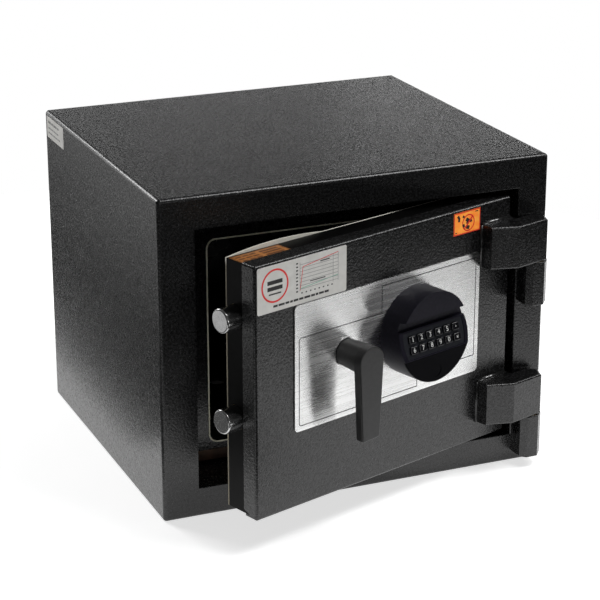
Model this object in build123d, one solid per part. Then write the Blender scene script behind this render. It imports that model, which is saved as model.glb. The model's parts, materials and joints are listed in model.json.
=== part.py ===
from build123d import *
import os
from math import cos, radians, sin

# Small fire-resistant safe: cabinet, hinged door, lever handle with two locking bolts, electronic keypad.
# Millimetres. +X to the right seen from the front, +Y to the back, +Z up, origin at the centre of the base.
# The door's own pieces are modelled with the door closed and are then swung open to the rest angle.

# Cabinet
WIDTH, DEPTH, HEIGHT = 390, 340, 310
SHEET = 2
FOLD_R = 3.5
RIM_LEFT, RIM_RIGHT, RIM_BOTTOM, RIM_TOP = 35, 31, 29, 31
JAMB_DEPTH = 51
MOUTH_LEFT, MOUTH_RIGHT, MOUTH_BOTTOM, MOUTH_TOP = 65, 61, 50, 60
LINER_T, LINER_R = 1.5, 8
CAVITY_BACK_GAP = 48
BEAD = 1.2
SEAL_W, SEAL_T = 10, 1.2
ANCHOR_R, ANCHOR_SPACING, ANCHOR_Y, SLEEVE_T = 7, 140, 20, 1.5

# Door
DOOR_W, DOOR_H = 315.5, 238
DOOR_GAP = 6
DOOR_RECESS = 6
DOOR_SHEET = 2
DOOR_FOLD_R = 2.5
FLANGE = 17
FLANGE_CUT = 7
PLUG_DEPTH = 41.5
COVER_T = 1.5
EDGE_SEAL_W, EDGE_SEAL_RISE, EDGE_SEAL_RUN = 1.5, 3.6, 112
CASE_LIP = 12
OPEN_ANGLE = 18.3
BAY_U, BAY_D, BAY_H = (4, 208), (14, 38), (64, 208)
COVER_SCREW_INSET, COVER_SCREW_R, COVER_SCREW_HEAD = 20, 3.6, 1.6
LABEL_T = 0.25

# Hinges
HINGE_INSET, HINGE_PROUD = 17.5, 12
PIN_R, BUSH_R, RUNNING = 5, 6.5, 0.06
KNUCKLE_Z, KNUCKLE_H = (11, 168), 43
ARM_GAP, ARM_H, ARM_REACH, ARM_END_R = 0.4, 41.5, 55.5, 11.4

# Locking bolts, bolt bar and handle; u, d and h are distances from the door's left edge, front and bottom
BOLT_R, BOLT_DEPTH, BOLT_THROW, BOLT_TIP = 11.25, 28.6, 16, 15.5
BOLT_H = (91, 185)
BOLT_END_U = 42
BAR_T = 3
DOG_R, DOG_REACH = 8, 8.4
HANDLE_U, HANDLE_H = 104.4, 135.5
SPINDLE_R, CRANK_R, CRANK_PIN_R = 4, 11.3, 2.5
LEVER_HEAD_R, LEVER_TIP_W, LEVER_DROP = 14.5, 21, 75.5
LEVER_BACK, LEVER_FRONT, HUB_BASE_R = 28, 36, 12.5
LOCK_U, LOCK_D, LOCK_H = (80, 122), (19, 37.5), (72, 109)
PLUNGER_U, PLUNGER_R, PLUNGER_TRAVEL = 100, 4, 5
BAR_BOTTOM_H = 119

# Front plate and keypad
PLATE_U, PLATE_H, PLATE_T, PLATE_R = (44.3, 273.9), (73.3, 192.3), 1.2, 4
KEYPAD_U, KEYPAD_H = 189.1, 136.5
KEYPAD_R, BASE_R, BASE_T, KEYPAD_WALL = 42.5, 38.7, 3.8, 3.5
PANEL_TILT, PANEL_F, PANEL_Z, PANEL_H, PANEL_T = 16, 28.2, -1.85, 27, 1.5
VISOR_Z, VISOR_FRONT = 20.8, 28.5
KEY_W, KEY_H, KEY_PITCH_X, KEY_PITCH_Y = 8.8, 7.2, 10.9, 9.8
KEY_OUT, KEY_IN, KEY_GAP = 1.3, 4.2, 0.35
COVER_TOP_Z, COVER_FRONT, COVER_PLATE_T = -15.4, 32, 2.2
CELL_R, CELL_LENGTH, CELL_F, CELL_Z = 8.5, 34.5, 16.3, -26
LEAD_R = 2

LEFT, RIGHT, FRONT, BACK = -WIDTH / 2, WIDTH / 2, -DEPTH / 2, DEPTH / 2
OPEN_X = (LEFT + RIM_LEFT, RIGHT - RIM_RIGHT)
OPEN_Z = (RIM_BOTTOM, HEIGHT - RIM_TOP)
MOUTH_X = (LEFT + MOUTH_LEFT, RIGHT - MOUTH_RIGHT)
MOUTH_Z = (MOUTH_BOTTOM, HEIGHT - MOUTH_TOP)
FRAME_Y = FRONT + JAMB_DEPTH
CAVITY_BACK = BACK - CAVITY_BACK_GAP
DOOR_X0, DOOR_Y0, DOOR_Z0 = OPEN_X[0] + DOOR_GAP, FRONT + DOOR_RECESS, RIM_BOTTOM + DOOR_GAP
HINGE_X, HINGE_Y = RIGHT - HINGE_INSET, FRONT - HINGE_PROUD
FORWARD, INWARD, RIGHTWARD, UP = (0, -1, 0), (0, 1, 0), (1, 0, 0), (0, 0, 1)
LOW = (Align.MIN, Align.MIN, Align.MIN)


def grown(span, by):
    """A span made longer at both ends."""
    return span[0] - by, span[1] + by


def block(x, y, z):
    """A box from its spans along X, Y and Z."""
    return Pos(x[0], y[0], z[0]) * Box(x[1] - x[0], y[1] - y[0], z[1] - z[0], align=LOW)


def rod(start, direction, radius, length):
    """A round bar from a point along a direction."""
    base = Plane(origin=start, z_dir=direction)
    return base * Cylinder(radius, length, align=(Align.CENTER, Align.CENTER, Align.MIN))


def ring(start, direction, outer, inner, length):
    """A washer, bush or sleeve from a point along a direction."""
    return rod(start, direction, outer, length) - rod(start, direction, inner, length)


def upright(x, y, z, corner):
    """A plate in the XZ plane with rounded corners, from its spans."""
    middle = ((x[0] + x[1]) / 2, y[0], (z[0] + z[1]) / 2)
    face = RectangleRounded(x[1] - x[0], z[1] - z[0], corner)
    return extrude(Plane(origin=middle, x_dir=RIGHTWARD, z_dir=INWARD) * face, y[1] - y[0])


def at_door(u, d, h):
    """A point on the closed door."""
    return DOOR_X0 + u, DOOR_Y0 + d, DOOR_Z0 + h


def door_block(u, d, h):
    """A box on the closed door, from its spans."""
    return Pos(*at_door(0, 0, 0)) * block(u, d, h)


def door_upright(u, d, h, corner):
    """A rounded plate on the closed door, from its spans."""
    return Pos(*at_door(0, 0, 0)) * upright(u, d, h, corner)


def swung(shape):
    """A piece of the closed door, turned about the hinge pins to the rest angle."""
    return Pos(HINGE_X, HINGE_Y) * Rot(Z=OPEN_ANGLE) * Pos(-HINGE_X, -HINGE_Y) * shape


# Cabinet


def bolt_pockets():
    """The room that the locking bolts and the fixed hinge-side bolts need in the cabinet."""
    left = [rod(at_door(-BOLT_TIP - 3, BOLT_DEPTH, h), RIGHTWARD, BOLT_R + 1.5, 20) for h in BOLT_H]
    right = [rod(at_door(DOOR_W, BOLT_DEPTH, h), RIGHTWARD, DOG_R + 2.5, DOG_REACH + 2) for h in BOLT_H]
    return left + right


def anchor_centres():
    return [(side * ANCHOR_SPACING / 2, ANCHOR_Y) for side in (-1, 1)]


def cabinet_shell():
    outer = block((LEFT, RIGHT), (FRONT, BACK), (0, HEIGHT))
    folds = outer.edges().filter_by(Axis.Y) + outer.faces().sort_by(Axis.Y)[0].edges()
    outer = fillet(folds, FOLD_R)
    inside = block(grown((LEFT, RIGHT), -SHEET), (FRONT + SHEET, BACK), (SHEET, HEIGHT - SHEET))
    opening = block(OPEN_X, (FRONT, FRONT + SHEET), OPEN_Z)
    shell = outer - inside - opening
    for x, y in anchor_centres():
        shell -= rod((x, y, 0), UP, ANCHOR_R, SHEET)
    rim = shell.faces().filter_by(Axis.Y).sort_by(Axis.Y)[0].inner_wires()[0].edges()
    return fillet(rim, SHEET * 0.6)


def rear_panel():
    return block(grown((LEFT, RIGHT), -SHEET), (BACK - SHEET, BACK), (SHEET, HEIGHT - SHEET))


def door_jamb():
    """Sheet steel reveal behind the opening, with the flat frame that carries the liner's mouth."""
    y = (FRONT + SHEET, FRAME_Y)
    jamb = block(grown(OPEN_X, SHEET), (y[0], y[1] + SHEET), grown(OPEN_Z, SHEET)) - block(OPEN_X, y, OPEN_Z)
    jamb -= upright(MOUTH_X, (FRAME_Y, FRAME_Y + SHEET), MOUTH_Z, LINER_R)
    for pocket in bolt_pockets():
        jamb -= pocket
    return jamb


def inner_liner():
    y0 = FRAME_Y + SHEET
    y = (y0, CAVITY_BACK + LINER_T)
    outer = upright(grown(MOUTH_X, LINER_T), y, grown(MOUTH_Z, LINER_T), LINER_R + LINER_T)
    liner = outer - upright(MOUTH_X, (y0, CAVITY_BACK), MOUTH_Z, LINER_R)
    for x, y in anchor_centres():
        liner -= rod((x, y, MOUTH_Z[0] - LINER_T), UP, ANCHOR_R, LINER_T)
    return liner


def liner_bead():
    """Thin pale edging round the liner's mouth."""
    y = (FRAME_Y - 0.8, FRAME_Y)
    outer = upright(grown(MOUTH_X, BEAD), y, grown(MOUTH_Z, BEAD), LINER_R + BEAD)
    return outer - upright(MOUTH_X, y, MOUTH_Z, LINER_R)


def intumescent_seal():
    """Four strips that swell in a fire, on the frame behind the door's edge."""
    y = (FRAME_Y - SEAL_T, FRAME_Y)
    x, z = grown(OPEN_X, -4), grown(OPEN_Z, -3)
    sides = [block((x[0], x[0] + SEAL_W), y, z), block((x[1] - SEAL_W, x[1]), y, z)]
    across = (x[0] + SEAL_W + 1, x[1] - SEAL_W - 1)
    sides += [block(across, y, (z[0], z[0] + SEAL_W)), block(across, y, (z[1] - SEAL_W, z[1]))]
    return Compound(sides)


def anchor_sleeves():
    length = MOUTH_Z[0] - LINER_T - SHEET
    return Compound(
        [ring((x, y, SHEET), UP, ANCHOR_R + SLEEVE_T, ANCHOR_R, length) for x, y in anchor_centres()]
    )


def fire_insulation():
    """The dry fill between the shell and the liner."""
    fill = block(grown((LEFT, RIGHT), -SHEET), (FRONT + SHEET, BACK - SHEET), (SHEET, HEIGHT - SHEET))
    fill -= block(grown(OPEN_X, SHEET), (FRONT + SHEET, FRAME_Y + SHEET), grown(OPEN_Z, SHEET))
    y = (FRAME_Y + SHEET, CAVITY_BACK + LINER_T)
    fill -= upright(grown(MOUTH_X, LINER_T), y, grown(MOUTH_Z, LINER_T), LINER_R + LINER_T)
    for pocket in bolt_pockets():
        fill -= pocket
    for x, y in anchor_centres():
        fill -= rod((x, y, SHEET), UP, ANCHOR_R + SLEEVE_T, MOUTH_Z[0])
    return fill


def hinge_knuckle(z):
    """The lower half of a hinge, welded to the cabinet's front and holding the pin."""
    x, y = HINGE_X, HINGE_Y
    outline = [(x - 12, FRONT), (x - 12, y - 5.5), (x - 6.5, y - 10.5), (x + 5, y - 10.5), (x + 12, y - 2)]
    profile = make_face(Polyline(*outline, (x + 12, FRONT), close=True))
    knuckle = Pos(0, 0, z) * extrude(profile, KNUCKLE_H)
    ends = knuckle.faces().filter_by(Axis.Z)
    round_over = [e for face in ends for e in face.edges() if e.center().Y < FRONT - 0.1]
    knuckle = fillet(round_over, 0.9)
    knuckle -= rod((x, y, z + 6), UP, PIN_R, KNUCKLE_H)
    return knuckle - rod((x, y, z + KNUCKLE_H - 1), UP, PIN_R + 4, 1)


def hinge_pin(z):
    length = KNUCKLE_H - 6 + ARM_GAP + ARM_H - 5
    return chamfer(rod((HINGE_X, HINGE_Y, z + 6), UP, PIN_R, length).edges().group_by(Axis.Z)[-1], 0.8)


def thrust_washers():
    """One washer let into the top of each knuckle, under the arm that turns on it."""
    tops = [z + KNUCKLE_H for z in KNUCKLE_Z]
    return Compound(
        [ring((HINGE_X, HINGE_Y, top - 1), UP, PIN_R + 4, PIN_R + RUNNING, 1 + ARM_GAP - 0.1) for top in tops]
    )


def side_label():
    return block((LEFT - LABEL_T, LEFT), (BACK - 60, BACK - 4), (HEIGHT - 26, HEIGHT - 4))


# Door


def door_plate():
    """The folded front plate, a shallow tray whose left flange is mitred off at its lower end."""
    tray = door_block((0, DOOR_W), (0, FLANGE), (0, DOOR_H))
    front = tray.faces().sort_by(Axis.Y)[0].edges()
    tray = fillet(front + tray.edges().filter_by(Axis.Y), DOOR_FOLD_R)
    tray -= door_block(grown((0, DOOR_W), -DOOR_SHEET), (DOOR_SHEET, FLANGE), grown((0, DOOR_H), -DOOR_SHEET))
    wedge = Polyline((0, 0), (FLANGE, 0), (FLANGE, FLANGE_CUT), close=True)
    mitre = extrude(Plane.YZ * make_face(wedge), DOOR_SHEET)
    tray -= Pos(*at_door(0, 0, 0)) * mitre
    tray -= rod(at_door(HANDLE_U, 0, HANDLE_H), INWARD, SPINDLE_R + 3, DOOR_SHEET)
    return tray - rod(at_door(KEYPAD_U, 0, KEYPAD_H - 7), INWARD, LEAD_R + 3, DOOR_SHEET)


def plug_case():
    """The sheet band behind the door plate, with an inward lip for the back cover and bores for the bolts."""
    u, h = grown((0, DOOR_W), -DOOR_SHEET), grown((0, DOOR_H), -DOOR_SHEET)
    back = PLUG_DEPTH - COVER_T
    band = door_block(u, (DOOR_SHEET, back), h)
    band -= door_block(grown(u, -DOOR_SHEET), (DOOR_SHEET, back - SHEET), grown(h, -DOOR_SHEET))
    band -= door_block(grown(u, -CASE_LIP), (back - SHEET, back), grown(h, -CASE_LIP))
    for height in BOLT_H:
        band -= rod(at_door(0, BOLT_DEPTH, height), RIGHTWARD, BOLT_R + 0.4, CASE_LIP + 4)
        band -= rod(at_door(DOOR_W - 10, BOLT_DEPTH, height), RIGHTWARD, DOG_R, 10)
    return band


def door_insulation():
    """The fill inside the door, cut away for the lock's bay, the spindle, the lead and the fixed bolts."""
    u, h = grown((0, DOOR_W), -2 * DOOR_SHEET), grown((0, DOOR_H), -2 * DOOR_SHEET)
    fill = door_block(u, (DOOR_SHEET, BAY_D[1]), h) - door_block(BAY_U, BAY_D, BAY_H)
    fill -= drill_plate_space()
    fill -= rod(at_door(HANDLE_U, 0, HANDLE_H), INWARD, SPINDLE_R + 3, 20)
    fill -= rod(at_door(KEYPAD_U, 0, KEYPAD_H - 7), INWARD, LEAD_R + 3, 20)
    for height in BOLT_H:
        fill -= rod(at_door(DOOR_W - 25, BOLT_DEPTH, height), RIGHTWARD, DOG_R, 25)
    return fill


def drill_plate_space():
    return door_block((70, 140), (DOOR_SHEET, DOOR_SHEET + 4), (70, 172))


def drill_plate():
    """Hard steel plate between the front plate and the lock."""
    return drill_plate_space() - rod(at_door(HANDLE_U, 0, HANDLE_H), INWARD, SPINDLE_R + 3, 20)


def cover_screw_places():
    across = (COVER_SCREW_INSET, DOOR_W / 2, DOOR_W - COVER_SCREW_INSET)
    return [(u, h) for u in across for h in (8, DOOR_H - 8)]


def door_back_cover():
    depth, inset = (PLUG_DEPTH - COVER_T, PLUG_DEPTH), DOOR_SHEET + EDGE_SEAL_W
    return door_upright(grown((0, DOOR_W), -inset), depth, grown((0, DOOR_H), -inset), 2)


def plug_edge_seal():
    """Pale seal round the back cover's edge, whose top run bows up off the plug near its left corner."""
    depth, inset = (PLUG_DEPTH - COVER_T, PLUG_DEPTH), DOOR_SHEET + EDGE_SEAL_W
    u, h = grown((0, DOOR_W), -DOOR_SHEET), grown((0, DOOR_H), -DOOR_SHEET)
    seal = door_block(u, depth, h)
    x, y, z = at_door(u[0], depth[0], h[1])
    bow = Spline((x, z), (x + EDGE_SEAL_RUN * 0.36, z + EDGE_SEAL_RISE), (x + EDGE_SEAL_RUN, z))
    profile = Plane.XZ * make_face(bow + Line((x + EDGE_SEAL_RUN, z), (x, z)))
    seal += Pos(0, y + COVER_T, 0) * extrude(profile, COVER_T)
    return seal - door_upright(grown((0, DOOR_W), -inset), depth, grown((0, DOOR_H), -inset), 2)


def back_cover_screws():
    """Round heads with a small socket each."""
    screws = []
    for u, h in cover_screw_places():
        head = rod(at_door(u, PLUG_DEPTH, h), INWARD, COVER_SCREW_R, COVER_SCREW_HEAD)
        head = fillet(head.edges().group_by(Axis.Y)[-1], 0.7)
        screws.append(head - rod(at_door(u, PLUG_DEPTH + COVER_SCREW_HEAD - 0.7, h), INWARD, 1.4, 1))
    return Compound(screws)


def fixed_hinge_side_bolts():
    """Two dog bolts that hold the hinge side shut even with the pins gone."""
    length = 20 + DOG_REACH
    bolts = [rod(at_door(DOOR_W - DOOR_SHEET - 20, BOLT_DEPTH, h), RIGHTWARD, DOG_R, length) for h in BOLT_H]
    return Compound([chamfer(b.edges().group_by(Axis.X)[-1], 1.5) for b in bolts])


def hinge_arm(z):
    """The upper half of a hinge, welded to the door's front and reaching round to the pin."""
    x, y, r = HINGE_X, HINGE_Y, ARM_END_R
    root = x - ARM_REACH
    front = Polyline((root, DOOR_Y0), (root, y + 4), (x - 32.5, y - 10), (x + 5, y - 10), (x + r, y))
    back = Polyline((x, y + r), (DOOR_X0 + DOOR_W, y + r), (DOOR_X0 + DOOR_W, DOOR_Y0), (root, DOOR_Y0))
    profile = make_face(front + CenterArc((x, y), r, 0, 90) + back)
    base = z + KNUCKLE_H + ARM_GAP
    arm = Pos(0, 0, base) * extrude(profile, ARM_H)
    rims = [edge for face in arm.faces().filter_by(Axis.Z) for edge in face.edges()]
    arm = fillet([edge for edge in rims if edge.center().Y < y + r - 0.5], 2)
    return arm - rod((x, y, base), UP, BUSH_R, ARM_H - 4)


def hinge_bushes():
    bases = [z + KNUCKLE_H + ARM_GAP for z in KNUCKLE_Z]
    return Compound(
        [ring((HINGE_X, HINGE_Y, base), UP, BUSH_R, PIN_R + RUNNING, ARM_H - 4) for base in bases]
    )


def bolt_guides():
    """Two bushes behind the bolt bores in the plug's left wall."""
    wall = 2 * DOOR_SHEET
    guides = [
        ring(at_door(wall, BOLT_DEPTH, h), RIGHTWARD, BOLT_R + 3, BOLT_R + RUNNING, 12) for h in BOLT_H
    ]
    flat = door_block((0, 40), (BAY_D[1], BAY_D[1] + 10), (0, DOOR_H))
    return Compound([guide - flat for guide in guides])


def handle_bush():
    """Bush for the handle's spindle, through the front plate and the drill plate."""
    return ring(at_door(HANDLE_U, -PLATE_T, HANDLE_H), INWARD, SPINDLE_R + 3, SPINDLE_R + RUNNING, 15)


def handle_rose():
    """Thin bright washer between the handle's hub and the front plate."""
    return ring(at_door(HANDLE_U, -PLATE_T - 1, HANDLE_H), INWARD, HUB_BASE_R + 1, SPINDLE_R + 0.4, 1)


def front_trim_plate():
    plate = door_upright(PLATE_U, (-PLATE_T, 0), PLATE_H, PLATE_R)
    plate -= rod(at_door(HANDLE_U, -PLATE_T, HANDLE_H), INWARD, SPINDLE_R + 3, PLATE_T)
    return plate - rod(at_door(KEYPAD_U, -PLATE_T, KEYPAD_H - 7), INWARD, LEAD_R + 3, PLATE_T)


def fire_rating_label():
    return door_upright((DOOR_FOLD_R, 105.4), (-LABEL_T, 0), (192.9, DOOR_H - DOOR_FOLD_R), 2)


def warning_label():
    return door_block((239, 273.7), (-LABEL_T, 0), (213.8, DOOR_H - DOOR_FOLD_R))


def plug_top_label():
    top = DOOR_H - DOOR_SHEET
    return door_block((DOOR_SHEET + 1, 58.5), (FLANGE + 1, PLUG_DEPTH - 4), (top, top + LABEL_T))


# Locking bolts and lock


def locking_bolts():
    length = BOLT_TIP + BOLT_END_U
    bolts = [rod(at_door(-BOLT_TIP, BOLT_DEPTH, h), RIGHTWARD, BOLT_R, length) for h in BOLT_H]
    return Compound([fillet(b.edges().group_by(Axis.X)[0], 1.6) for b in bolts])


def bolt_bar():
    """Flat bar that joins the bolts' inner ends, slotted for the spindle, the crank pin and the plunger."""
    d = (BOLT_DEPTH - BAR_T / 2, BOLT_DEPTH + BAR_T / 2)
    bar = door_block((BOLT_END_U, BOLT_END_U + 16), d, (BOLT_H[0] - 11, BOLT_H[1] + 11))
    bar += door_block((BOLT_END_U, 122), d, (BAR_BOTTOM_H, 153))
    half = SPINDLE_R + 0.5
    bar -= door_block((HANDLE_U - BOLT_THROW - half, HANDLE_U + half), d, grown((HANDLE_H, HANDLE_H), half))
    crank_u = HANDLE_U - CRANK_R * sin(radians(45))
    slot_top = HANDLE_H + CRANK_R + CRANK_PIN_R + 0.5
    bar -= door_block(grown((crank_u, crank_u), CRANK_PIN_R + 0.6), d, (HANDLE_H, slot_top))
    for u in (PLUNGER_U, PLUNGER_U - BOLT_THROW):
        notch = grown((u, u), PLUNGER_R + 0.5)
        bar -= door_block(notch, d, (BAR_BOTTOM_H, BAR_BOTTOM_H + PLUNGER_TRAVEL + 0.6))
    return bar


def spindle_crank():
    """Crank on the spindle's inner end, whose pin moves the bolt bar."""
    crank_at = CRANK_R * sin(radians(45))
    d = BOLT_DEPTH + BAR_T / 2 + 0.5
    middle = at_door(HANDLE_U - crank_at / 2, d, HANDLE_H + crank_at / 2)
    web = Plane(origin=middle, x_dir=(-1, 0, 1), z_dir=INWARD)
    crank = extrude(web * SlotCenterToCenter(CRANK_R, 12), 4)
    crank -= rod(at_door(HANDLE_U, d, HANDLE_H), INWARD, SPINDLE_R, 4)
    return crank + rod(at_door(HANDLE_U - crank_at, d, HANDLE_H + crank_at), FORWARD, CRANK_PIN_R, BAR_T + 2)


def handle_spindle():
    front = LEVER_BACK - 2
    return rod(at_door(HANDLE_U, -front, HANDLE_H), INWARD, SPINDLE_R, front + BOLT_DEPTH + BAR_T / 2 + 4.5)


def lever_handle():
    """Flared hub and flat hanging lever, one casting."""
    base = PLATE_T + 1.2
    hub = Plane(origin=at_door(HANDLE_U, -base, HANDLE_H), z_dir=FORWARD) * Cone(
        HUB_BASE_R, LEVER_HEAD_R, LEVER_BACK - base, align=(Align.CENTER, Align.CENTER, Align.MIN)
    )
    r, half = LEVER_HEAD_R, LEVER_TIP_W / 2
    outline = Polyline((-r, 0), (-half, -LEVER_DROP), (half, -LEVER_DROP + 1.5), (r, 0))
    face = make_face(outline + CenterArc((0, 0), r, 0, 180))
    face = fillet([v for v in face.vertices() if v.Y < -LEVER_DROP / 2], 2.5)
    front = Plane(origin=at_door(HANDLE_U, -LEVER_BACK, HANDLE_H), x_dir=RIGHTWARD, z_dir=FORWARD)
    lever = extrude(front * face, LEVER_FRONT - LEVER_BACK)
    lever = fillet(lever.faces().sort_by(Axis.Y)[0].edges(), 1.4)
    return hub + lever - rod(at_door(HANDLE_U, 0, HANDLE_H), FORWARD, SPINDLE_R, LEVER_BACK - 2)


def lock_case():
    """Box of the electronic lock, open at the top where the plunger comes out."""
    case = door_block(LOCK_U, LOCK_D, LOCK_H)
    case -= door_block(grown(LOCK_U, -1.5), grown(LOCK_D, -1.5), grown(LOCK_H, -1.5))
    case -= rod(at_door(PLUNGER_U, BOLT_DEPTH, LOCK_H[0] + 5), UP, PLUNGER_R + RUNNING, 50)
    return case - rod(at_door(LOCK_U[1] - 3, LOCK_D[0] + 4, LOCK_H[0] + 20), RIGHTWARD, LEAD_R, 5)


def lock_coil():
    """Solenoid winding round the plunger."""
    foot = LOCK_H[0] + 3
    return ring(at_door(PLUNGER_U, BOLT_DEPTH, foot), UP, 7, PLUNGER_R + RUNNING, LOCK_H[1] - 5 - foot)


def lock_plunger():
    """The part that drops into the bolt bar's notch; drawn back, as when the code has been entered."""
    foot = LOCK_H[0] + 8
    pin = rod(at_door(PLUNGER_U, BOLT_DEPTH, foot), UP, PLUNGER_R, BAR_BOTTOM_H - 0.7 - foot)
    return chamfer(pin.edges().group_by(Axis.Z)[-1], 0.6)


# Keypad, modelled about the centre of its base: -Y towards the user, +Z up

KEYPAD_PLACE = Pos(*at_door(KEYPAD_U, 0, KEYPAD_H))
PANEL_OUT = (0, -cos(radians(PANEL_TILT)), sin(radians(PANEL_TILT)))
PANEL = Plane(origin=(0, -PANEL_F, PANEL_Z), x_dir=RIGHTWARD, z_dir=PANEL_OUT)


def drum(start, end, radius):
    """A round of the keypad between two distances in front of the door."""
    return rod((0, -start, 0), FORWARD, radius, end - start)


def panel_block(x, y, z):
    """A box square to the tilted panel, from its spans along the panel's own axes."""
    return PANEL * block(x, y, z)


def keypad_base():
    base = drum(PLATE_T, PLATE_T + BASE_T, BASE_R) - drum(PLATE_T, PLATE_T + BASE_T, 32)
    return base + drum(PLATE_T, PLATE_T + 2, 32.5) - rod((0, 0, -7), FORWARD, LEAD_R + 3, 10)


def keypad_housing():
    """Round housing with a visor above the tilted panel and a flat seat for the battery cover below."""
    back = PLATE_T
    body = drum(back, COVER_FRONT, KEYPAD_R)
    half, lean = PANEL_H / 2 * cos(radians(PANEL_TILT)), PANEL_H / 2 * sin(radians(PANEL_TILT))
    top_f, top_z = PANEL_F - lean, PANEL_Z + half
    low_f, low_z = PANEL_F + lean, PANEL_Z - half
    far = COVER_FRONT + 5
    side = [(far, 50), (VISOR_FRONT, 50), (VISOR_FRONT, VISOR_Z), (top_f - 3, VISOR_Z - 1)]
    side += [(top_f - 3, top_z), (top_f, top_z), (low_f, low_z)]
    side += [(COVER_FRONT, COVER_TOP_Z), (COVER_FRONT, -50), (far, -50)]
    cut = make_face(Polyline(*[(-f, z) for f, z in side], close=True))
    body -= extrude(Plane.YZ * cut, 50, both=True)
    rim = [e for e in body.edges() if e.center().Z > VISOR_Z and abs(e.center().Y + VISOR_FRONT) < 0.01]
    body = fillet([e for e in rim if e.geom_type != GeomType.LINE], 0.8)
    inner = KEYPAD_R - KEYPAD_WALL
    body -= drum(back, 18, inner)
    body -= panel_block((-50, 50), (-12.3, 12.3), (-11, 2)) & drum(back, COVER_FRONT, inner - 1)
    body -= fascia_blank()
    cell_top = CELL_Z + CELL_R + 0.3
    body -= block((-19, 19), (-COVER_FRONT, -17), (cell_top - 18, cell_top)) & drum(back, 40, inner)
    return body - cover_blank(0.0)


def fascia_blank():
    spans = (-60, 60), (-PANEL_H / 2 + 0.3, PANEL_H / 2 - 0.3), (-PANEL_T - 0.5, -0.5)
    return panel_block(*spans) & drum(0, 60, KEYPAD_R - KEYPAD_WALL)


def key_places():
    return [((i - 2.5) * KEY_PITCH_X, (0.5 - row) * KEY_PITCH_Y) for row in (0, 1) for i in range(6)]


def key_blank(x, y, grow):
    face = RectangleRounded(KEY_W + 2 * grow, KEY_H + 2 * grow, 1.6 + grow)
    return PANEL * Pos(x, y, -KEY_IN) * extrude(face, KEY_IN + KEY_OUT)


def keypad_fascia():
    fascia = fascia_blank()
    for x, y in key_places():
        fascia -= key_blank(x, y, KEY_GAP)
    return fascia


def keypad_key(x, y):
    key = key_blank(x, y, 0)
    return fillet(key.faces().sort_by(Axis((0, 0, 0), PANEL_OUT))[-1].edges(), 0.9)


def key_mat():
    return panel_block((-33, 33), (-11, 11), (-KEY_IN - 2.2, -KEY_IN - 1))


def keypad_board():
    return panel_block((-32, 32), (-10, 10), (-KEY_IN - 3.8, -KEY_IN - 2.2))


def cover_blank(gap):
    """The lower round of the keypad's front, below the panel."""
    edge = drum(COVER_FRONT - COVER_PLATE_T, COVER_FRONT, KEYPAD_R)
    return edge & block((-50, 50), (-40, 0), (-50, COVER_TOP_Z - gap))


def battery_cover():
    cover = cover_blank(0.3)
    front = cover.faces().sort_by(Axis.Y)[0]
    cover = fillet([e for e in front.edges() if e.center().Z < COVER_TOP_Z - 3], 0.8)
    return cover - rod((0, -COVER_FRONT + 0.5, -32), FORWARD, 6, 3)


def battery():
    return rod((-CELL_LENGTH / 2, -CELL_F, CELL_Z), RIGHTWARD, CELL_R, CELL_LENGTH)


def keypad_lead():
    """Lead from the board through the door to the lock, in keypad coordinates."""
    lock_x = LOCK_U[1] - KEYPAD_U
    lock_z = DOOR_Z0 + LOCK_H[0] + 20 - (DOOR_Z0 + KEYPAD_H)
    points = [(0, -17.5, -7), (0, 23, -7), (-25, 23, -7), (-50, 23, lock_z), (lock_x - 1.5, 23, lock_z)]
    path = FilletPolyline(*points, radius=8)
    return sweep(Plane(origin=points[0], z_dir=INWARD) * Circle(LEAD_R), path=path)


CABINET = {
    "cabinet_shell": cabinet_shell(),
    "rear_panel": rear_panel(),
    "door_jamb": door_jamb(),
    "inner_liner": inner_liner(),
    "liner_bead": liner_bead(),
    "intumescent_seal": intumescent_seal(),
    "fire_insulation": fire_insulation(),
    "anchor_sleeves": anchor_sleeves(),
    "lower_hinge_knuckle": hinge_knuckle(KNUCKLE_Z[0]),
    "upper_hinge_knuckle": hinge_knuckle(KNUCKLE_Z[1]),
    "lower_hinge_pin": hinge_pin(KNUCKLE_Z[0]),
    "upper_hinge_pin": hinge_pin(KNUCKLE_Z[1]),
    "thrust_washers": thrust_washers(),
    "side_label": side_label(),
}
DOOR = {
    "door_plate": door_plate(),
    "plug_case": plug_case(),
    "door_insulation": door_insulation(),
    "drill_plate": drill_plate(),
    "door_back_cover": door_back_cover(),
    "plug_edge_seal": plug_edge_seal(),
    "back_cover_screws": back_cover_screws(),
    "fixed_hinge_side_bolts": fixed_hinge_side_bolts(),
    "lower_hinge_arm": hinge_arm(KNUCKLE_Z[0]),
    "upper_hinge_arm": hinge_arm(KNUCKLE_Z[1]),
    "hinge_bushes": hinge_bushes(),
    "bolt_guides": bolt_guides(),
    "handle_bush": handle_bush(),
    "handle_rose": handle_rose(),
    "front_trim_plate": front_trim_plate(),
    "fire_rating_label": fire_rating_label(),
    "warning_label": warning_label(),
    "plug_top_label": plug_top_label(),
    "locking_bolts": locking_bolts(),
    "bolt_bar": bolt_bar(),
    "spindle_crank": spindle_crank(),
    "handle_spindle": handle_spindle(),
    "lever_handle": lever_handle(),
    "lock_case": lock_case(),
    "lock_coil": lock_coil(),
    "lock_plunger": lock_plunger(),
}
KEYPAD = {
    "keypad_base": keypad_base(),
    "keypad_housing": keypad_housing(),
    "keypad_fascia": keypad_fascia(),
    "key_mat": key_mat(),
    "keypad_board": keypad_board(),
    "battery_cover": battery_cover(),
    "battery": battery(),
    "keypad_lead": keypad_lead(),
}
KEY_NAMES = ("1", "2", "3", "4", "5", "dot", "6", "7", "8", "9", "0", "cross")
for name, (x, y) in zip(KEY_NAMES, key_places()):
    KEYPAD["key_" + name] = keypad_key(x, y)

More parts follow.
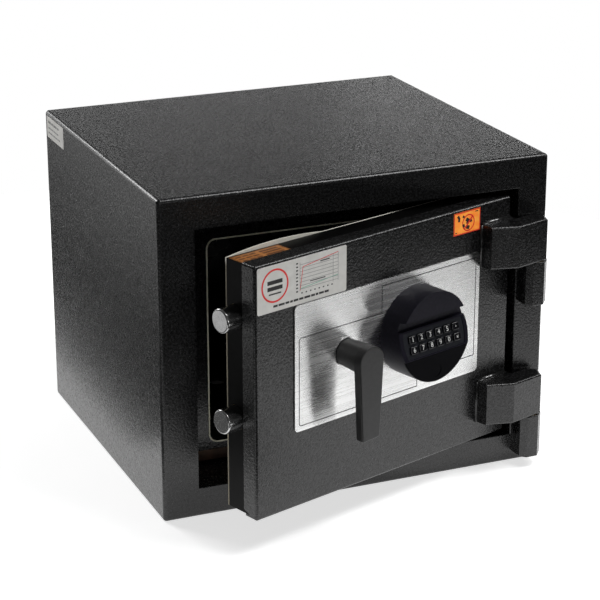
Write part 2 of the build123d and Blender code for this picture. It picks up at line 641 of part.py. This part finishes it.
os.makedirs("parts", exist_ok=True)
for name, shape in CABINET.items():
    export_step(shape, f"parts/{name}.step")
for name, shape in DOOR.items():
    export_step(swung(shape), f"parts/{name}.step")
for name, shape in KEYPAD.items():
    export_step(swung(KEYPAD_PLACE * shape), f"parts/{name}.step")
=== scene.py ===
"""Small fire-resistant safe: materials, printed details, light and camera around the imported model.

Metres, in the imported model's frame: +X right, +Y back, +Z up. Door pieces are laid out with the door shut
and are then turned about the hinge pins, as the door itself is.
"""

import json
import math

import bmesh
import bpy
from mathutils import Matrix, Vector


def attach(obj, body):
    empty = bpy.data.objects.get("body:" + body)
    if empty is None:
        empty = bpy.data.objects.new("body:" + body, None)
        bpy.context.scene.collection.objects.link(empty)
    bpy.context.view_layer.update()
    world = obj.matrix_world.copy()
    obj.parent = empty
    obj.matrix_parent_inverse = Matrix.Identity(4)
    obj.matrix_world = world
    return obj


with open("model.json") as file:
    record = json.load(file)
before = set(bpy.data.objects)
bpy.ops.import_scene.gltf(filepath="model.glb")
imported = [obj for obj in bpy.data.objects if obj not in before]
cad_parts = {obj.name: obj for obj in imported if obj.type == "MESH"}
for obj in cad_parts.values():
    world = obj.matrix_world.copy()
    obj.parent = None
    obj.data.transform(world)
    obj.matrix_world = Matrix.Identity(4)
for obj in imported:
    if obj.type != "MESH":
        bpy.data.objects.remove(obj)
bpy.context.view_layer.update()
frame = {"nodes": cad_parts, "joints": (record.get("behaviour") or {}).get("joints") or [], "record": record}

MM = 0.001
INK = 0.03 * MM
DIGIT_SIZE = 6.2 * MM
MITRE_LIMIT = 0.35
WELD_R = 2 * MM
WELD_PROUD = 0.2 * MM
CARD_LIFT = 4 * MM
FLOOR_R = 0.8
FLOOR_AT = (-0.06, 0.1, 0)
AIM = (0, 0, 0.2)
CAMERA_AT = (-0.7551, -1.8127, 0.8394)
CAMERA_TILT_DEG, CAMERA_TURN_DEG = 19.74, -22.96
SENSOR_MM, LENS_MM = 36, 124.55
JOINTS = {joint["name"]: joint for joint in frame["joints"]}
SLOT_OF = {part["node"]: part["material_slot"] for part in frame["record"]["subparts"]}
SWING = JOINTS["door_swing"]
PIVOT = Matrix.Translation(Vector(SWING["pos_m"]))
OPENED = PIVOT @ Matrix.Rotation(math.radians(-SWING["range_deg"][0]), 4, "Z") @ PIVOT.inverted()
SHUT = OPENED.inverted()
AS_BUILT = Matrix.Identity(4)


def span(node, turn=AS_BUILT):
    """A node's lowest and highest corners after a turn, such as SHUT for a piece of the door."""
    points = [turn @ v.co for v in frame["nodes"][node].data.vertices]
    low = Vector(min(p[i] for p in points) for i in range(3))
    high = Vector(max(p[i] for p in points) for i in range(3))
    return low, high


def linked(name, data):
    """A new object of the scene that shows a mesh, curve, light or camera."""
    obj = bpy.data.objects.new(name, data)
    bpy.context.scene.collection.objects.link(obj)
    return obj


def mesh_from(bm, name):
    """Turns a finished edit mesh into a mesh of its own."""
    mesh = bpy.data.meshes.new(name)
    bm.to_mesh(mesh)
    bm.free()
    return mesh


# Materials


def socket_name(key):
    """The name of the socket that a keyword stands for: "Base Color" for base_color."""
    return key.replace("_", " ").title().replace("Ior", "IOR")


class Recipe:
    """One procedural material. Constants go on the shader's sockets; textures are added by short calls."""

    def __init__(self, name, **constants):
        self.material = bpy.data.materials.new(name)
        self.material.use_nodes = True
        self.tree = self.material.node_tree
        self.shader = self.tree.nodes["Principled BSDF"]
        for key, value in constants.items():
            self.shader.inputs[socket_name(key)].default_value = value

    def add(self, kind, **inputs):
        node = self.tree.nodes.new("ShaderNode" + kind)
        for key, value in inputs.items():
            self.feed(node.inputs[socket_name(key)], value)
        return node

    def feed(self, socket, value):
        if isinstance(value, bpy.types.NodeSocket):
            self.tree.links.new(value, socket)
        else:
            socket.default_value = value

    def place(self, scale=(1, 1, 1), turn=0.0):
        """The object's own coordinates, turned about Z and stretched."""
        where = self.add("TexCoord").outputs["Object"]
        turned = self.add("Mapping", Vector=where, Rotation=(0, 0, turn)).outputs["Vector"]
        return self.add("Mapping", Vector=turned, Scale=scale).outputs["Vector"]

    def noise(self, scale, detail, where=None):
        where = self.place() if where is None else where
        return self.add("TexNoise", Vector=where, Scale=scale, Detail=detail).outputs["Fac"]

    def between(self, amount, low, high, start=0.3, end=0.7):
        """A colour or a number that runs from low to high as a texture rises from start to end."""
        if isinstance(low, (int, float)):
            node = self.add("MapRange")
            self.feed(node.inputs["Value"], amount)
            self.feed(node.inputs["From Min"], start)
            self.feed(node.inputs["From Max"], end)
            self.feed(node.inputs["To Min"], low)
            self.feed(node.inputs["To Max"], high)
            return node.outputs["Result"]
        node = self.add("ValToRGB")
        self.feed(node.inputs["Fac"], amount)
        ends = node.color_ramp.elements
        ends[0].position, ends[0].color = start, (*low, 1)
        ends[1].position, ends[1].color = end, (*high, 1)
        return node.outputs["Color"]

    def bump(self, height, distance, strength, under=None):
        node = self.add("Bump", Height=height, Distance=distance, Strength=strength)
        if under is not None:
            self.feed(node.inputs["Normal"], under)
        return node.outputs["Normal"]

    def set(self, **textures):
        for key, value in textures.items():
            self.feed(self.shader.inputs[socket_name(key)], value)


def hammered_paint():
    """Black textured enamel: a glossy orange peel about 2 mm across with a finer grain on it."""
    r = Recipe("body_paint", specular_ior_level=0.62)
    peel = r.noise(500, 3)
    grain = r.noise(1400, 2)
    normal = r.bump(peel, 0.6 * MM, 0.5)
    normal = r.bump(grain, 0.15 * MM, 0.4, normal)
    r.set(
        # Base colour lighter on the peel's crests: partly the enamel's mottled tone, partly painted glints of
        # the glossy peel.
        base_color=r.between(peel, (0.001, 0.001, 0.001), (0.022, 0.022, 0.023), 0.45, 0.65),
        roughness=r.between(peel, 0.32, 0.18),
        normal=normal,
    )
    return r


def gloss_paint():
    """Smooth black enamel of the liner and the door's back."""
    r = Recipe("liner_paint")
    wave = r.noise(160, 2)
    r.set(
        base_color=r.between(wave, (0.006, 0.006, 0.006), (0.011, 0.011, 0.011)),
        roughness=r.between(r.noise(30, 3), 0.2, 0.3),
        normal=r.bump(wave, 0.12 * MM, 0.5),
    )
    return r


# Painted light: a faint orange glow lets the label look more brightly lit than the door's shade allows.
LABEL_PAINTED_LIGHT = {"emission_color": (1.0, 0.26, 0.05, 1), "emission_strength": 0.25}


def plain_plastic(name, low, high, roughness, grain=900, depth=0.06, **constants):
    """A moulded, printed or smoothly painted surface: slight mottling, slight grain."""
    r = Recipe(name, **constants)
    fine = r.noise(grain, 3)
    r.set(
        base_color=r.between(r.noise(grain / 8, 3), low, high),
        roughness=r.between(fine, roughness - 0.04, roughness + 0.04),
        normal=r.bump(fine, depth * MM, 0.4),
    )
    return r


def metal(name, low, high, roughness, scratches=(1, 1, 1), grain=700, depth=0.02):
    """Bare metal with fine tool marks, stretched where scratches has unequal scales."""
    r = Recipe(name, metallic=1.0)
    marks = r.noise(grain, 4, r.place(scratches))
    r.set(
        base_color=r.between(r.noise(40, 2), low, high),
        roughness=r.between(marks, roughness - 0.05, roughness + 0.05),
        normal=r.bump(marks, depth * MM, 0.35),
    )
    return r


def brushed_plate():
    """Stainless front plate, brushed from side to side: reflections smear up and down."""
    turn = math.radians(SWING["range_deg"][0])
    r = Recipe("trim_plate", metallic=1.0, anisotropic=1.0)
    lines = r.noise(300, 5, r.place((0.02, 1, 3.2), turn))
    fine = r.noise(600, 3, r.place((0.012, 1, 3.2), turn))
    up = r.add("CombineXYZ", Z=1.0).outputs["Vector"]
    r.set(
        base_color=r.between(fine, (0.91, 0.91, 0.905), (1.0, 1.0, 0.995), 0.3, 0.7),
        roughness=r.between(lines, 0.22, 0.31),
        normal=r.bump(fine, 0.006 * MM, 0.3),
        tangent=up,
    )
    return r


def edge_seal():
    """The seal round the door's back cover: pale along the top, browner and darker down the sides, where the
    darker colour is painted shade.
    """
    r = Recipe("edge_seal", roughness=0.7)
    _, high = span("plug_edge_seal")
    top = r.between(r.noise(500, 3), 0.85, 1.0)
    height = r.add("SeparateXYZ", Vector=r.place()).outputs["Z"]
    # Painted shade: below the top the pale cream turns to a dark tan, as on sides that the light hardly
    # reaches.
    painted_light_top = r.between(height, 0.0, top, high.z - 12 * MM, high.z - 6 * MM)
    r.set(
        base_color=r.between(painted_light_top, (0.26, 0.23, 0.17), (0.92, 0.89, 0.80), 0.0, 1.0),
        normal=r.bump(r.noise(500, 3), 0.1 * MM, 0.4),
    )
    return r


RECIPES = {
    "body_paint": hammered_paint(),
    "liner_paint": gloss_paint(),
    # The mouth bead's olive cream, lightened well past its own tone: painted light for a bead that sits in
    # shade.
    "bead": plain_plastic("bead", (0.74, 0.71, 0.55), (0.84, 0.81, 0.66), 0.4),
    "edge_seal": edge_seal(),
    "seal": plain_plastic("seal", (0.05, 0.025, 0.012), (0.10, 0.05, 0.025), 0.6),
    "fire_fill": plain_plastic("fire_fill", (0.70, 0.67, 0.60), (0.82, 0.80, 0.74), 0.9, 300, 0.3),
    "steel": metal("steel", (0.42, 0.42, 0.42), (0.56, 0.56, 0.56), 0.32),
    "brass": metal("brass", (0.58, 0.42, 0.16), (0.74, 0.56, 0.26), 0.3),
    "copper_winding": metal("copper_winding", (0.55, 0.24, 0.10), (0.72, 0.34, 0.16), 0.35, (1, 1, 12)),
    "chrome": metal("chrome", (0.44, 0.44, 0.44), (0.52, 0.52, 0.52), 0.2, (1, 1, 1), 300, 0.01),
    "trim_plate": brushed_plate(),
    "handle_black": plain_plastic("handle_black", (0.010,) * 3, (0.016,) * 3, 0.42, 2200, 0.05),
    "keypad_black": plain_plastic(
        "keypad_black",
        (0.008, 0.0075, 0.012),
        (0.013, 0.012, 0.019),
        0.4,
        2600,
        0.04,
        specular_ior_level=0.1,
    ),
    "panel_grey": plain_plastic(
        "panel_grey",
        (0.010, 0.011, 0.014),
        (0.016, 0.017, 0.022),
        0.5,
        2600,
        0.08,
        specular_ior_level=0.25,
    ),
    "cover_gloss": plain_plastic(
        "cover_gloss",
        (0.0012, 0.0012, 0.002),
        (0.002, 0.002, 0.003),
        0.14,
        500,
        0.01,
        specular_ior_level=0.02,
    ),
    "key_black": plain_plastic(
        "key_black",
        (0.003, 0.003, 0.004),
        (0.007, 0.007, 0.009),
        0.2,
        1500,
        0.03,
        specular_ior_level=0.5,
    ),
    "mat_rubber": plain_plastic("mat_rubber", (0.02, 0.02, 0.02), (0.035, 0.035, 0.035), 0.7),
    "label_white": plain_plastic("label_white", (0.66, 0.65, 0.62), (0.74, 0.73, 0.70), 0.4, 1200, 0.02),
    "label_orange": plain_plastic(
        "label_orange", (1.0, 0.20, 0.02), (1.0, 0.48, 0.07), 0.3, 1200, 0.02, **LABEL_PAINTED_LIGHT
    ),
    "label_brown": plain_plastic("label_brown", (0.40, 0.15, 0.035), (0.55, 0.22, 0.06), 0.4, 1200, 0.02),
    "cell": plain_plastic("cell", (0.05, 0.06, 0.09), (0.08, 0.09, 0.13), 0.3),
}
PLUG_PAINT = plain_plastic(
    "plug_paint", (0.001,) * 3, (0.003,) * 3, 0.4, 700, 0.1, specular_ior_level=0.08
)
WELD_PAINT = plain_plastic(
    "weld_paint", (0.01,) * 3, (0.015,) * 3, 0.24, 500, 0.02, specular_ior_level=1.0, coat_weight=1.0
)
LOOKS = {"plug_case": PLUG_PAINT}
INKS = {
    "black": plain_plastic("ink_black", (0.012, 0.012, 0.012), (0.022, 0.022, 0.022), 0.45).material,
    "grey": plain_plastic("ink_grey", (0.20, 0.20, 0.20), (0.28, 0.28, 0.28), 0.5).material,
    "red": plain_plastic("ink_red", (0.72, 0.02, 0.02), (0.82, 0.04, 0.03), 0.4).material,
    "green": plain_plastic("ink_green", (0.12, 0.42, 0.30), (0.18, 0.52, 0.38), 0.4).material,
    "white": plain_plastic("ink_white", (0.72, 0.72, 0.70), (0.82, 0.82, 0.80), 0.4).material,
    "brown": plain_plastic("ink_brown", (0.10, 0.035, 0.01), (0.16, 0.055, 0.015), 0.45).material,
}


def paint_nodes():
    for name, obj in frame["nodes"].items():
        for held in obj.material_slots:
            held.link = "OBJECT"
            held.material = LOOKS.get(name, RECIPES[SLOT_OF[name]]).material


# Pieces


def finished(name, mesh, material, body, place=AS_BUILT):
    """Names a new piece, gives it its material and slot, and lets it ride on a body."""
    obj = linked(name, mesh)
    mesh.materials.clear()
    mesh.materials.append(material)
    obj.matrix_world = place
    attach(obj, body)


def offset_sides(points, width, closed):
    """The two edges of a line of some width drawn through points, with mitred corners."""
    count, left, right = len(points), [], []
    for i, point in enumerate(points):
        before = points[i - 1] if i or closed else None
        after = points[(i + 1) % count] if i < count - 1 or closed else None
        runs = [(point - before).normalized()] if before is not None else []
        runs += [(after - point).normalized()] if after is not None else []
        sides = [Vector((-run.y, run.x)) for run in runs]
        side = sum(sides, Vector((0, 0))).normalized()
        reach = width / 2 / max(MITRE_LIMIT, side.dot(sides[0]))
        left.append(point + side * reach)
        right.append(point - side * reach)
    return left, right


def strip_into(bm, points, width, closed, thick):
    """Adds a flat line to a mesh that lies in the local XY plane and stands thick above it."""
    points = [Vector(p) for p in points]
    rails = offset_sides(points, width, closed)
    rings = []
    for left, right in zip(*rails):
        corners = [(*left, 0), (*right, 0), (*right, thick), (*left, thick)]
        rings.append([bm.verts.new(corner) for corner in corners])
    pairs = list(zip(rings, rings[1:])) + ([(rings[-1], rings[0])] if closed else [])
    for a, b in pairs:
        for i in range(4):
            j = (i + 1) % 4
            bm.faces.new((a[i], a[j], b[j], b[i]))
    if not closed:
        bm.faces.new(rings[0])
        bm.faces.new(reversed(rings[-1]))


def printed(name, strips, ink, body, place, thick=INK):
    """One printed layer: strips are (points, width, closed) in mm, on the plane that place gives."""
    bm = bmesh.new()
    for points, width, closed in strips:
        strip_into(bm, [(x * MM, y * MM) for x, y in points], width * MM, closed, thick)
    bmesh.ops.recalc_face_normals(bm, faces=bm.faces)
    finished(name, mesh_from(bm, name), INKS[ink], body, place)


def bar(x0, x1, y, height):
    """A solid bar from x0 to x1, centred on y."""
    return [(x0, y), (x1, y)], height, False


def arc(x, y, radius, start, end, steps=12):
    """Points along an arc, in degrees, both ends included."""
    angles = [math.radians(start + (end - start) * i / steps) for i in range(steps + 1)]
    return [(x + radius * math.cos(a), y + radius * math.sin(a)) for a in angles]


def words(x0, x1, y, height, lengths, gap=0.9):
    """A row of short bars that stands for a line of small print."""
    row, x, i = [], x0, 0
    while x + lengths[i % len(lengths)] <= x1:
        row.append(bar(x, x + lengths[i % len(lengths)], y, height))
        x += lengths[i % len(lengths)] + gap
        i += 1
    return row


def on_front(node):
    """The plane of a door piece's front: X along the door, Y up, from its lower left corner; and its size."""
    low, high = span(node, SHUT)
    axes = Matrix(((1, 0, 0, low.x), (0, 0, -1, low.y), (0, 1, 0, low.z), (0, 0, 0, 1)))
    return OPENED @ axes, (high - low) / MM


def plate_border():
    """Thin printed lines that follow the plate's edge and part its fields."""
    place, size = on_front("front_trim_plate")
    inset, r, line = 5, 2.5, 0.85
    step_x, low_field, high_field = 104, 88, 114
    right, notch_x, field_x, ledge = size.x - inset, size.x - 45, 150, 17
    outer = [(step_x, high_field), *arc(right - r, high_field - r, r, 90, 0, 6), (right, ledge)]
    notch = [(right, ledge), (notch_x, ledge)]
    left_field = [(step_x, high_field), (step_x, low_field), *arc(inset + r, low_field - r, r, 90, 180, 6)]
    left_field += [*arc(inset + r, inset + r, r, 180, 270, 6), (field_x, inset), (field_x, ledge)]
    strips = [(points, line, False) for points in (outer, notch, left_field)]
    printed("plate_border_print", strips, "black", "door", place)


def rating_label_print():
    """A red ring with bars, and a graph with one steep and one shallow line, as plain marks."""
    place, _ = on_front("fire_rating_label")
    ring = [(arc(20, 23.5, 14.5, 0, 360, 47)[:-1], 1.7, True)]
    printed("rating_label_ring", ring, "red", "door", place)
    block = [bar(11.5, 28.5, 26.8, 3.6), bar(11.5, 28.5, 21.2, 3.6), bar(13, 27, 16.2, 1.3)]
    block += words(18, 88, 4.8, 2.0, (5, 7, 4.5, 3, 5.5))
    block += [bar(44, 46.2, 12 + 3.2 * i, 1.3) for i in range(9)]
    block += [bar(50 + 5 * i, 51.6 + 5 * i, 9.8, 1.2) for i in range(8)]
    block += [bar(72, 83, 34.4, 1.1), bar(60, 78, 18.6, 0.9)]
    printed("rating_label_words", block, "black", "door", place)
    left, right = 48.5, 93
    grid = [bar(left, right, 13.5 + 3.2 * i, 0.4) for i in range(8)]
    grid += [([(x, 12), (x, 38)], 0.4, False) for x in (left, 87, right)]
    printed("rating_label_grid", grid, "grey", "door", place)
    curve = [([(left, 12), (52, 33.5), (right, 38.5)], 0.6, False)]
    printed("rating_label_curve", curve, "red", "door", place)
    line = [([(left, 14), (right, 17.5)], 0.5, False)]
    printed("rating_label_line", line, "green", "door", place)


def warning_label_print():
    """A red border round a few dark and red marks."""
    place, size = on_front("warning_label")
    w, h, edge, reach = size.x, size.z, 0.6, 5.2
    cx, cy = w * 0.55, h * 0.46
    border = [([(edge, edge), (w - edge, edge), (w - edge, h - edge), (edge, h - edge)], 1.1, True)]
    border += [(arc(cx, cy, 7.6, 0, 360, 30)[:-1], 1.3, True)]
    printed("warning_label_border", border, "red", "door", place)
    marks = [([(5, h - 3), (7, h - 6), (6.5, h - 9)], 2.6, False)]
    marks += [([(16, 14), (19, 12), (17.5, 9)], 3.6, False)]
    marks += [([(21.5, 13.5), (22.5, 10)], 3.2, False), ([(16.5, 6.4), (20.5, 5)], 3.6, False)]
    marks += [([(12.5, 9.5), (13.5, 6.5)], 2.6, False), ([(11.5, 17.5), (13.5, 16)], 2.2, False)]
    marks += [([(w - 3, h - 2.6), (w - 7, h - 2.6)], 1.0, False), bar(2.2, 4.4, 2.6, 1.0)]
    printed("warning_label_marks", marks, "black", "door", place, 2 * INK)
    slash = [([(cx - reach, cy - reach), (cx + reach, cy + reach)], 1.7, False)]
    printed("warning_label_slash", slash, "red", "door", place, 3 * INK)


def plug_label_print():
    """Rows of dark blocks on the brown label that lies on the door's top."""
    low, high = span("plug_top_label", SHUT)
    place = OPENED @ Matrix.Translation((low.x, low.y, high.z))
    w, h = (high - low).x / MM, (high - low).y / MM
    rows = [bar(x, x + 6.5, y, 2.4) for x in (3, 11, 19) for y in (4.5, 9.5, 15)]
    rows += [bar(30, w - 5, y, 3.0) for y in (5, 10, 15)]
    frame_line = [([(1, 1), (w - 1, 1), (w - 1, h - 1), (1, h - 1)], 0.8, True)]
    printed("plug_label_marks", rows + frame_line, "brown", "door", place)


def side_label_print():
    """Grey bars in place of the small print on the cabinet's side."""
    low, high = span("side_label")
    axes = Matrix(((0, 0, -1, low.x), (-1, 0, 0, high.y), (0, 1, 0, low.z), (0, 0, 0, 1)))
    w, h = (high - low).y / MM, (high - low).z / MM
    rows = words(5, w - 5, h - 5.5, 2.4, (9, 6, 11, 5), 1.6)
    rows += words(5, w - 14, h - 11.5, 1.5, (5, 3, 6), 1.2)
    rows += words(5, w - 8, h - 16.5, 1.5, (4, 7, 3), 1.2)
    printed("side_label_marks", rows, "grey", "cabinet", axes)


def key_digits():
    """Digits, a dot and a cross on the keys' faces."""
    for name in (name for name in JOINTS if name.startswith("press_")):
        key, joint = name.removeprefix("press_"), JOINTS[name]
        outward = -Vector(joint["axis"]).normalized()
        across = Vector((0, 0, 1)).cross(outward).normalized()
        up = outward.cross(across)
        points = [v.co for v in frame["nodes"]["key_" + key].data.vertices]
        reach = max(p.dot(outward) for p in points)
        middle = sum(points, Vector()) / len(points)
        centre = middle + outward * (reach - middle.dot(outward))
        place = Matrix.Translation(centre) @ Matrix((across, up, outward)).transposed().to_4x4()
        if key == "dot":
            dot = [([(-0.45, 0), (0.45, 0)], 0.9, False)]
            printed("digit_dot", dot, "white", "key_dot", place)
        elif key == "cross":
            strokes = [([(-1.1, -y), (1.1, y)], 0.5, False) for y in (1.1, -1.1)]
            printed("digit_cross", strokes, "white", "key_cross", place)
        else:
            curve = bpy.data.curves.new("digit_" + key, "FONT")
            curve.body, curve.size, curve.extrude = key, DIGIT_SIZE, INK / 2
            curve.align_x, curve.align_y = "CENTER", "CENTER"
            writer = linked("writer", curve)
            bpy.context.view_layer.update()
            drawn = writer.evaluated_get(bpy.context.evaluated_depsgraph_get())
            mesh = bpy.data.meshes.new_from_object(drawn)
            bpy.data.objects.remove(writer)
            lift = place @ Matrix.Translation((0, 0, INK / 2))
            finished("digit_" + key, mesh, INKS["white"], "key_" + key, lift)


# Stage


def studio():
    """White behind the object, and a dimmer surround for what it reflects: lighter overhead than low down."""
    world = bpy.data.worlds.new("studio")
    bpy.context.scene.world = world
    world.use_nodes = True
    tree = world.node_tree
    backdrop = tree.nodes["Background"]
    backdrop.inputs["Color"].default_value = (1, 1, 1, 1)
    surround = tree.nodes.new("ShaderNodeBackground")
    height = tree.nodes.new("ShaderNodeSeparateXYZ")
    direction = tree.nodes.new("ShaderNodeTexCoord")
    shade = tree.nodes.new("ShaderNodeValToRGB")
    for element, position, tone in zip(shade.color_ramp.elements, (0.45, 0.75), (0.02, 0.10)):
        element.position, element.color = position, (tone, tone, tone, 1)
    lift = tree.nodes.new("ShaderNodeMapRange")
    lift.inputs["From Min"].default_value = -1
    tree.links.new(direction.outputs["Generated"], height.inputs[0])
    tree.links.new(height.outputs["Z"], lift.inputs["Value"])
    tree.links.new(lift.outputs[0], shade.inputs["Fac"])
    tree.links.new(shade.outputs[0], surround.inputs["Color"])
    mix = tree.nodes.new("ShaderNodeMixShader")
    ray = tree.nodes.new("ShaderNodeLightPath")
    tree.links.new(ray.outputs["Is Camera Ray"], mix.inputs["Fac"])
    tree.links.new(surround.outputs[0], mix.inputs[1])
    tree.links.new(backdrop.outputs[0], mix.inputs[2])
    tree.links.new(mix.outputs[0], tree.nodes["World Output"].inputs["Surface"])
    bpy.context.scene.view_settings.view_transform = "Standard"


def softbox(name, position, target, width, height, brightness):
    """A soft panel of light; brightness is the radiance of its face."""
    light = bpy.data.lights.new(name, "AREA")
    light.shape, light.size, light.size_y = "RECTANGLE", width, height
    light.energy = brightness * math.pi * width * height
    obj = linked(name, light)
    obj.location = position
    obj.rotation_euler = (Vector(target) - Vector(position)).to_track_quat("-Z", "Y").to_euler()
    obj.visible_camera = False


def floor():
    """A pale, evenly lit round table top, wide enough for the object's shadow."""
    bm = bmesh.new()
    bmesh.ops.create_circle(bm, cap_ends=True, segments=96, radius=FLOOR_R)
    mesh = mesh_from(bm, "floor")
    glow = {"emission_color": (1, 1, 1, 1), "emission_strength": 0.66}
    mesh.materials.append(plain_plastic("floor", (0.90,) * 3, (0.93,) * 3, 0.7, 60, 0.0, **glow).material)
    obj = linked("floor", mesh)
    obj.location = FLOOR_AT


def weld(name, start, end, paint):
    """A fine painted weld bead between two points of the shut door."""
    run, bm = end - start, bmesh.new()
    size = {"radius1": WELD_R, "radius2": WELD_R, "depth": run.length}
    bmesh.ops.create_cone(bm, cap_ends=True, segments=24, **size)
    for face in bm.faces:
        face.smooth = len(face.verts) == 4
    turned = run.to_track_quat("Z", "Y").to_matrix().to_4x4()
    place = OPENED @ Matrix.Translation((start + end) / 2) @ turned
    finished(name, mesh_from(bm, name), paint.material, "door", place)


def hinge_welds():
    """Weld beads along the top and the free end of each hinge arm, where it meets the door."""
    door_low, door_high = span("door_plate", SHUT)
    for which in ("lower", "upper"):
        low, high = span(which + "_hinge_arm", SHUT)
        corner = Vector((low.x, door_low.y - WELD_PROUD, high.z))
        along = Vector((door_high.x - WELD_R - low.x, 0, 0))
        down = Vector((0, 0, low.z - high.z))
        weld(which + "_hinge_weld", corner, corner + along, WELD_PAINT)
        weld(which + "_hinge_end_weld", corner, corner + down, RECIPES["liner_paint"])


def card(name, x, y, tone):
    """A card lying near the safe, which only glossy surfaces see; tone is how bright it looks in them."""
    bm = bmesh.new()
    corners = ((x[0], y[0]), (x[1], y[0]), (x[1], y[1]), (x[0], y[1]))
    bm.faces.new([bm.verts.new((*corner, CARD_LIFT)) for corner in corners])
    mesh = mesh_from(bm, name)
    glow = {"emission_color": (1, 1, 1, 1), "emission_strength": tone, "specular_ior_level": 0.0}
    mesh.materials.append(plain_plastic(name, (0.01,) * 3, (0.015,) * 3, 0.9, 60, 0.0, **glow).material)
    obj = linked(name, mesh)
    obj.visible_camera = obj.visible_diffuse = obj.visible_shadow = False


def camera():
    """Standing to the left of the safe and above it, with a long lens."""
    data = bpy.data.cameras.new("camera")
    data.sensor_width, data.lens = SENSOR_MM, LENS_MM
    obj = linked("camera", data)
    obj.location = CAMERA_AT
    obj.rotation_euler = (math.radians(90 - CAMERA_TILT_DEG), 0, math.radians(CAMERA_TURN_DEG))
    bpy.context.scene.camera = obj


paint_nodes()
plate_border()
rating_label_print()
warning_label_print()
plug_label_print()
side_label_print()
hinge_welds()
key_digits()
studio()
floor()
card("black_card", (-0.49, -0.235), (0.0, 1.3), 0.0)
card("far_card", (-1.0, -0.49), (0.0, 1.9), 0.75)
card("front_card", (-0.35, 0.08), (-1.0, -0.38), 0.0)
card("grey_card", (-0.80, -0.29), (-0.35, 0.0), 0.1)
softbox("right", (0.75, -0.72, 1.9), AIM, 0.9, 0.62, 9.5)
softbox("high_right", (1.4, -0.45, 1.4), AIM, 0.5, 0.5, 8.5)
softbox("rear_left", (-0.9, 1.5, 1.2), AIM, 0.8, 0.8, 9)
softbox("backdrop", (0.2, 2.4, 0.32), (0.2, 0, 0.32), 4.4, 0.64, 1.35)
softbox("backdrop_right", (1.9, 2.2, 0.35), (0.2, 0, 0.35), 1.6, 0.6, 1.15)
softbox("front", (-0.1, -2.3, 0.4), AIM, 0.6, 0.4, 4.5)
camera()
